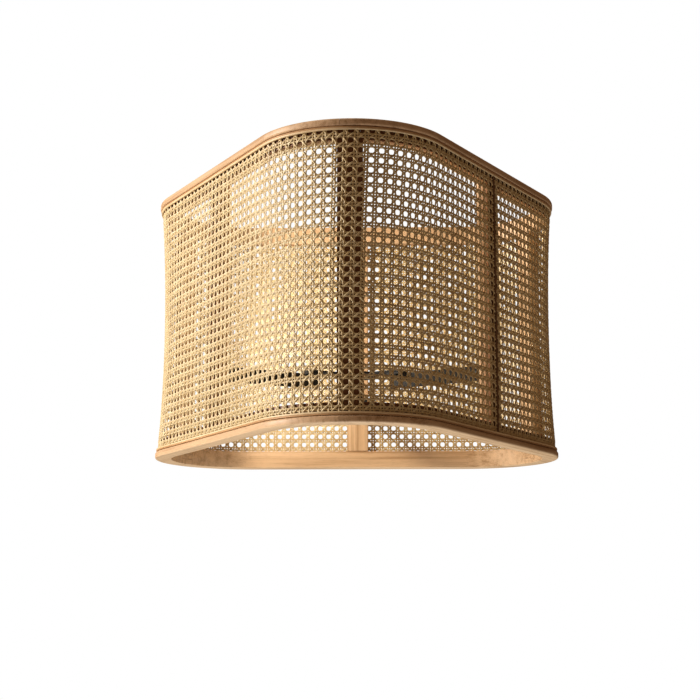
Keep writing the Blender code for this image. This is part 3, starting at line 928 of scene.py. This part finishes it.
def crossed(mesh, degrees):
    # the CAD screw with a cross recess cut in the top of its head, which faces the shade's middle
    points = pointsOf(mesh)
    outward, along = ((points[:, :2] - centre) @ facing(turn) for turn in (degrees, degrees + 90))
    middle, rise = (along.min() + along.max()) / 2, (points[:, 2].min() + points[:, 2].max()) / 2
    out = (outward.min() - screw["recess"], outward.min() + screw["recess"])
    arm, half = screw["cross"] / 2, screw["slot"] / 2
    wide = (degrees, out, (middle - arm, middle + arm), (rise - half, rise + half))
    tall = (degrees, out, (middle - half, middle + half), (rise - arm, rise + arm))
    return withoutBoxes(withoutBoxes(mesh.copy(), [wide]), [tall])


screw = {
    "cross": 0.0034,  # length of each slot
    "slot": 0.0007,
    "recess": 0.0009,
}
blackSteel = steelFinish("black_powder_coat", (0.004, 0.004, 0.0045), 0.0, 0.52)
rivetSteel = steelFinish("black_rivet", (0.02, 0.02, 0.021), 0.6, 0.38)
screwSteel = steelFinish("zinc_screw", (0.52, 0.53, 0.55), 1.0, 0.3)
for side in sides:
    softened(f"spider_arm_{side}", f"steel_arm_{side}", blackSteel, 0.0006)
softened("spider_plate", "steel_plate", blackSteel, 0.0005)
for name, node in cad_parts.items():
    if name.startswith("plate_rivet"):
        node.data.materials.clear()
        node.data.materials.append(rivetSteel)
    if name.startswith("arm_screw"):
        mesh = crossed(node.data, sides[name.split("_")[2]])
        newPiece(f"cross_{name}", mesh, screwSteel, [name])
print("spider done")


# Room, lights and camera


studio = {
    "floorHalf": 15,
    "floorHeight": -1.25,
    "middle": (0, 0.05, 0.19),  # what the soft lights point at
    "key": ((-3.4, -0.42, 0.95), 0.6, 150, (1.0, 0.95, 0.90)),  # place, size, power, colour
    "top": ((-0.3, -0.3, 2.6), 0.9, 16, (1.0, 0.94, 0.84)),
    "bounce": ((0.0, -0.1, -1.2), 0.7, 12, (0.80, 0.93, 1.0)),
    "glowPlace": (-0.17, 0.0, 0.22),  # a light inside the shade, for its far walls
    "glowTowards": (0.94, 0.34, -0.1),
    "glowSpread": 150,
    "glowPower": 3.9,
    "glowColour": (1.0, 0.90, 0.74),
    "ambient": (1.0, 0.56, 0.26),
    "ambientStrength": 0.14,
    "cameraPlace": (0.0415, -2.0521, -0.240),
    "cameraTowards": (-0.0228, 0.9833, 0.1810),
    "lens": 77.5,
    "gamma": 0.88,
}


def makeStage():
    mesh = bpy.data.meshes.new("floor")
    made = bmesh.new()
    bmesh.ops.create_grid(made, x_segments=1, y_segments=1, size=studio["floorHalf"])
    made.to_mesh(mesh)
    made.free()
    floor = bpy.data.objects.new("floor", mesh)
    floor.location = (0, 0, studio["floorHeight"])
    bpy.context.scene.collection.objects.link(floor)
    paint = Finish("floor_paint", Base_Color=(0.86, 0.85, 0.83, 1), Roughness=0.9)
    mesh.materials.append(paint.material)


def areaLight(name, place, size, power, colour):
    data = bpy.data.lights.new(name, "AREA")
    data.shape = "DISK"
    data.size = size
    data.energy = power
    data.color = colour
    lamp = bpy.data.objects.new(name, data)
    lamp.location = place
    lamp.rotation_euler = (Vector(studio["middle"]) - Vector(place)).to_track_quat("-Z", "Y").to_euler()
    lamp.visible_camera = False
    bpy.context.scene.collection.objects.link(lamp)


def makeLights():
    for name in ("key", "top", "bounce"):
        areaLight(name, *studio[name])
    glow = bpy.data.lights.new("glow", "SPOT")
    glow.shadow_soft_size = 0.03
    glow.energy = studio["glowPower"]
    glow.color = studio["glowColour"]
    glow.spot_size = math.radians(studio["glowSpread"])
    glow.spot_blend = 0.15
    lamp = bpy.data.objects.new("glow", glow)
    lamp.location = studio["glowPlace"]
    lamp.rotation_euler = Vector(studio["glowTowards"]).to_track_quat("-Z", "Y").to_euler()
    lamp.visible_camera = False
    bpy.context.scene.collection.objects.link(lamp)
    world = bpy.data.worlds.new("studio")
    bpy.context.scene.world = world
    world.use_nodes = True
    tree = world.node_tree
    ground = tree.nodes["Background"]
    ground.inputs["Color"].default_value = (*studio["ambient"], 1)
    ground.inputs["Strength"].default_value = studio["ambientStrength"]
    seen = tree.nodes.new("ShaderNodeBackground")
    seen.inputs["Color"].default_value = (1, 1, 1, 1)
    seen.inputs["Strength"].default_value = 1.0
    path = tree.nodes.new("ShaderNodeLightPath")
    choose = tree.nodes.new("ShaderNodeMixShader")
    tree.links.new(path.outputs["Is Camera Ray"], choose.inputs[0])
    tree.links.new(ground.outputs[0], choose.inputs[1])
    tree.links.new(seen.outputs[0], choose.inputs[2])
    tree.links.new(choose.outputs[0], tree.nodes["World Output"].inputs["Surface"])


def makeCamera():
    data = bpy.data.cameras.new("camera")
    data.lens = studio["lens"]
    data.sensor_width = 36
    camera = bpy.data.objects.new("camera", data)
    camera.location = studio["cameraPlace"]
    camera.rotation_euler = Vector(studio["cameraTowards"]).to_track_quat("-Z", "Y").to_euler()
    bpy.context.scene.collection.objects.link(camera)
    bpy.context.scene.camera = camera


makeStage()
makeLights()
makeCamera()
bpy.context.scene.view_settings.view_transform = "Standard"
bpy.context.scene.view_settings.look = "None"
bpy.context.scene.view_settings.gamma = studio["gamma"]
